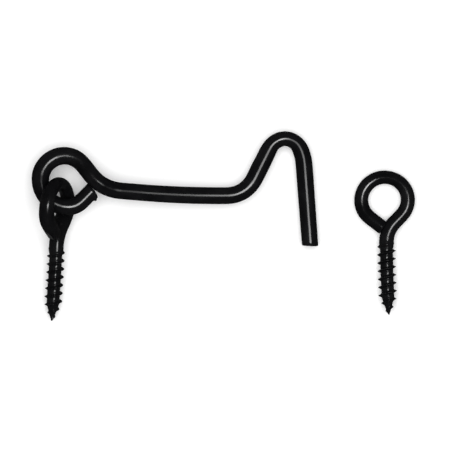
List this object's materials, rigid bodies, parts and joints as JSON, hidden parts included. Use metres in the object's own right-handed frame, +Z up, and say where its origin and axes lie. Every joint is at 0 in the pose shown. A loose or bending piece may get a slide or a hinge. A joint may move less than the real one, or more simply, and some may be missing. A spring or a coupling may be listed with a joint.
{
  "type": "hook and eye latch",
  "caption": "Bent-wire hook linked to a wood-screw eye, with a loose matching screw eye to catch it; holds a trunk lid, door or gate shut.",
  "frame": {"origin": "middle of the bounding box of the three pieces, in the plane of the table they lie on", "axes": "+X along the hook from its closed eye to its leg, +Y from the screw tips towards the screw eyes' rings, +Z up from the table"},
  "size_m": [0.1019, 0.0503, 0.015],
  "materials": {
    "hook_coating": "gloss black coating on bent steel wire",
    "eye_coating": "gloss black coating on steel wire with a cut wood-screw thread"
  },
  "bodies": {
    "hinge_eye": {"hinge_screw_eye": "eye_coating"},
    "hook": {"gate_hook": "hook_coating"},
    "catch_eye": {"catch_screw_eye": "eye_coating"}
  },
  "joints": [
    {"name": "hook_swing", "type": "hinge", "parent": "hinge_eye", "child": "hook", "pos_m": [-0.04267, 0.01053, 0.006], "axis": [0.1103, 0.0179, 0.9937], "range_deg": [-20, 90]},
    {"name": "catch_eye_turn", "type": "hinge", "parent": "hinge_eye", "child": "catch_eye", "pos_m": [0.04351, -0.00458, 0.00244], "axis": [-0.0314, 0.9989, -0.034], "continuous": true}
  ]
}
